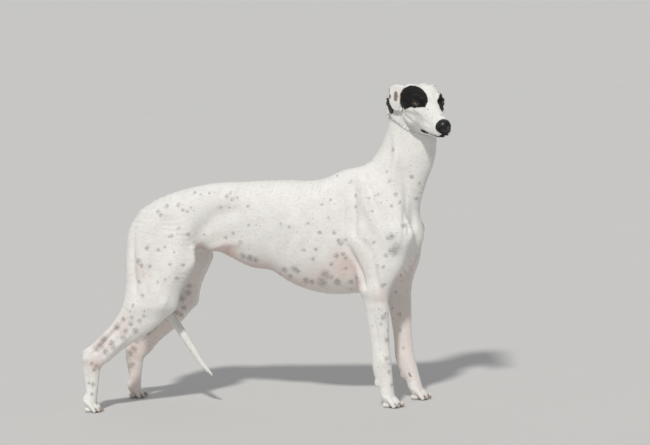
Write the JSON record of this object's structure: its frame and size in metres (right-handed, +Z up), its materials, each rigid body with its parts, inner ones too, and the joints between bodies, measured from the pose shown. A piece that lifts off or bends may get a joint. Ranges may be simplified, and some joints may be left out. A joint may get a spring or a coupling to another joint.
{
  "type": "standing greyhound model",
  "caption": "Life-size still model of a white greyhound standing square, its head turned to its right, with a slip chain collar.",
  "frame": {"origin": "on the floor, under the middle of the model's box", "axes": "+X from the tail towards the chest, +Y to the dog's left, +Z up"},
  "size_m": [1.182, 0.3378, 0.9592],
  "materials": {
    "coat": "short smooth white hair with sparse grey ticking and a black patch round each eye",
    "nose_leather": "moist black nose leather",
    "eye": "wet brown eye",
    "chain": "bright steel chain"
  },
  "bodies": {
    "root": {"chest": "coat", "collar": "chain", "ear_left": "coat", "ear_right": "coat", "eye_left": "eye", "eye_right": "eye", "forearm_left": "coat", "forearm_right": "coat", "forepaw_left": "coat", "forepaw_right": "coat", "head": "coat", "hindpaw_left": "coat", "hindpaw_right": "coat", "loin": "coat", "metatarsus_left": "coat", "metatarsus_right": "coat", "neck": "coat", "nose": "nose_leather", "rump": "coat", "shank_left": "coat", "shank_right": "coat", "shoulder_left": "coat", "shoulder_right": "coat", "tail_base": "coat", "tail_middle": "coat", "tail_tip": "coat", "thigh_left": "coat", "thigh_right": "coat"}
  },
  "joints": []
}
